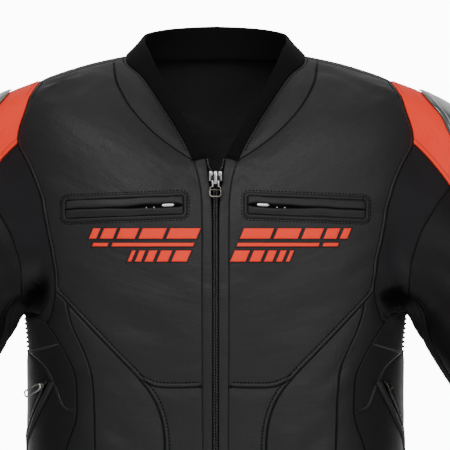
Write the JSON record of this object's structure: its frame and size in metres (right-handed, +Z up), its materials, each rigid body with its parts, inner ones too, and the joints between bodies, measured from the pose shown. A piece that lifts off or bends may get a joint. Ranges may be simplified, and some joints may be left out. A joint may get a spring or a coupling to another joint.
{
  "type": "motorcycle jacket",
  "caption": "Worn leather motorcycle jacket with a low knit collar, front zip, slanted chest pockets, side zip pockets and hard shoulder plates.",
  "frame": {"origin": "between the shoulder points of the worn jacket, at the height of the base of the neck, where the wearer carries it", "axes": "+X to the wearer's left, -Y to the front, +Z up; the jacket hangs from the origin towards -Z"},
  "size_m": [0.9212, 0.2742, 0.6915],
  "materials": {
    "black_leather": "matt, fine grain",
    "red_leather": "matt, smooth",
    "stretch": "fine ribbed stretch cloth",
    "collar_knit": "soft fine knit",
    "plate_gloss": "glossy",
    "bright_metal": "bright, lightly worn",
    "dark_metal": "dark nickel",
    "zip_tape": "woven zip tape and moulded teeth"
  },
  "bodies": {
    "jacket": {"back": "black_leather", "back_side_left": "black_leather", "back_side_right": "black_leather", "belly_left": "black_leather", "belly_right": "black_leather", "chest_left": "black_leather", "chest_lip_lower_left": "black_leather", "chest_lip_lower_right": "black_leather", "chest_lip_upper_left": "black_leather", "chest_lip_upper_right": "black_leather", "chest_pocket_border_left": "black_leather", "chest_pocket_border_right": "black_leather", "chest_pull_left": "bright_metal", "chest_pull_right": "bright_metal", "chest_right": "black_leather", "collar": "collar_knit", "flank_lens_left": "black_leather", "flank_lens_right": "black_leather", "gusset_left": "stretch", "gusset_right": "stretch", "neck_leaf_left": "black_leather", "neck_leaf_right": "black_leather", "placket_left": "black_leather", "placket_right": "black_leather", "rib_panel_left": "stretch", "rib_panel_right": "stretch", "shoulder_plate_left": "plate_gloss", "shoulder_plate_right": "plate_gloss", "shoulder_red_left": "red_leather", "shoulder_red_right": "red_leather", "side_front_left": "black_leather", "side_front_right": "black_leather", "side_lower_left": "black_leather", "side_lower_right": "black_leather", "side_middle_left": "black_leather", "side_middle_right": "black_leather", "side_slider_left": "bright_metal", "side_slider_right": "bright_metal", "side_upper_left": "black_leather", "side_upper_right": "black_leather", "side_welt_left": "black_leather", "side_welt_right": "black_leather", "side_zip_left": "zip_tape", "side_zip_right": "zip_tape", "sleeve_outer_left": "black_leather", "sleeve_outer_right": "black_leather", "sleeve_under_left": "stretch", "sleeve_under_right": "stretch", "slider": "bright_metal", "yoke": "black_leather", "zip_chain": "zip_tape", "zip_open_left": "zip_tape", "zip_open_right": "zip_tape"},
    "front_puller": {"puller": "dark_metal"},
    "side_puller": {"side_pull_right": "bright_metal"}
  },
  "joints": [
    {"name": "front_puller_hinge", "type": "hinge", "parent": "jacket", "child": "front_puller", "pos_m": [0, -0.12147, -0.13275], "axis": [-1, 0, 0], "range_deg": [0, 80]},
    {"name": "side_puller_hinge", "type": "hinge", "parent": "jacket", "child": "side_puller", "pos_m": [-0.19288, -0.08046, -0.36057], "axis": [-0.2812, 0.2675, 0.9216], "range_deg": [0, 70]}
  ]
}
